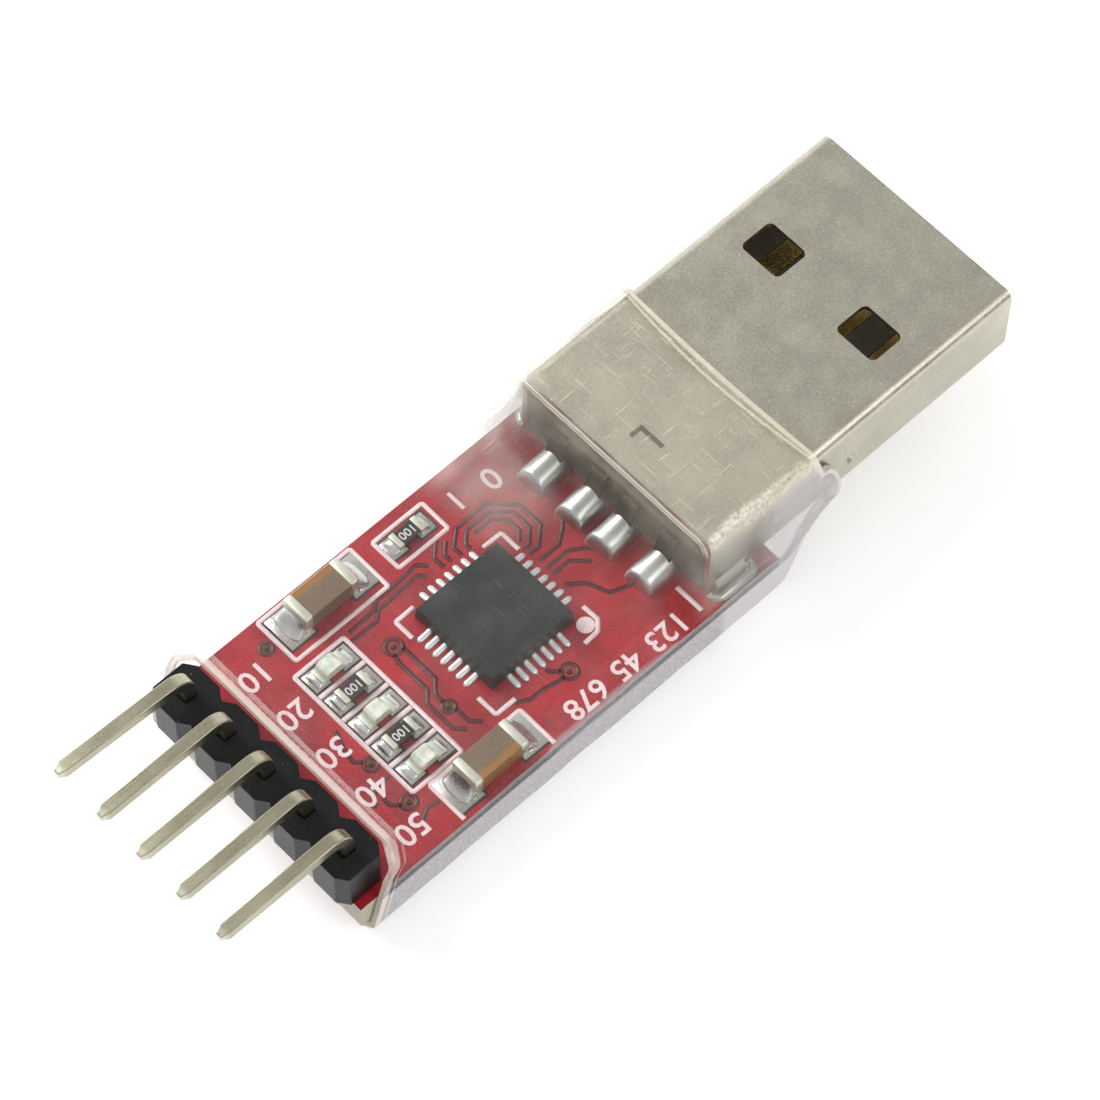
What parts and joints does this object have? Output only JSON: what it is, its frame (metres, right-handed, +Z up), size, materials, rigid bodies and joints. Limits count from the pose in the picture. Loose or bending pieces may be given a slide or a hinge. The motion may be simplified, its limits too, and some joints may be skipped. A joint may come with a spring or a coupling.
{
  "type": "usb to serial adapter module",
  "caption": "Small circuit board with a flat serial bus plug at one end and a right angle pin header at the other, inside a clear shrink sleeve.",
  "frame": {"origin": "under the middle of the module, on the surface that the sleeve rests on", "axes": "+X towards the plug tip, +Y across the board towards the first header pin, +Z up from the component side"},
  "size_m": [0.0468, 0.0142, 0.0078],
  "materials": {
    "solder_mask": "glossy red solder mask on glass fibre board",
    "clear_film": "clear shrink film, slightly milky and scratched",
    "nickel_shell": "satin nickel plating with a fine pitted grain",
    "black_moulding": "matt black moulding",
    "contact_metal": "plated spring brass",
    "header_plastic": "satin black moulding",
    "pin_metal": "tin plated wire with fine drawing marks",
    "chip_resin": "matt dark grey resin",
    "capacitor_ceramic": "smooth brown ceramic",
    "end_plating": "matt tin plating",
    "resistor_coat": "glossy black coat",
    "lamp_plate": "pale lamp plate",
    "lamp_lens": "milky clear resin",
    "solder": "bright solder"
  },
  "bodies": {
    "root": {"circuit_board": "solder_mask", "clear_sleeve": "clear_film", "plug_shell": "nickel_shell", "plug_insulator": "black_moulding", "plug_contact_1": "contact_metal", "plug_contact_2": "contact_metal", "plug_contact_3": "contact_metal", "plug_contact_4": "contact_metal", "header_body": "header_plastic", "header_pin_1": "pin_metal", "header_pin_2": "pin_metal", "header_pin_3": "pin_metal", "header_pin_4": "pin_metal", "header_pin_5": "pin_metal", "bridge_chip": "chip_resin", "bridge_chip_joints": "solder", "capacitor_1": "capacitor_ceramic", "capacitor_1_ends": "end_plating", "capacitor_2": "capacitor_ceramic", "capacitor_2_ends": "end_plating", "resistor_1": "resistor_coat", "resistor_1_ends": "end_plating", "resistor_2": "resistor_coat", "resistor_2_ends": "end_plating", "resistor_3": "resistor_coat", "resistor_3_ends": "end_plating", "lamp_1_plate": "lamp_plate", "lamp_1_ends": "end_plating", "lamp_1_lens": "lamp_lens", "lamp_2_plate": "lamp_plate", "lamp_2_ends": "end_plating", "lamp_2_lens": "lamp_lens", "lamp_3_plate": "lamp_plate", "lamp_3_ends": "end_plating", "lamp_3_lens": "lamp_lens", "chip_part_solder": "solder", "contact_solder": "solder", "header_solder": "solder", "leg_solder": "solder"}
  },
  "joints": []
}
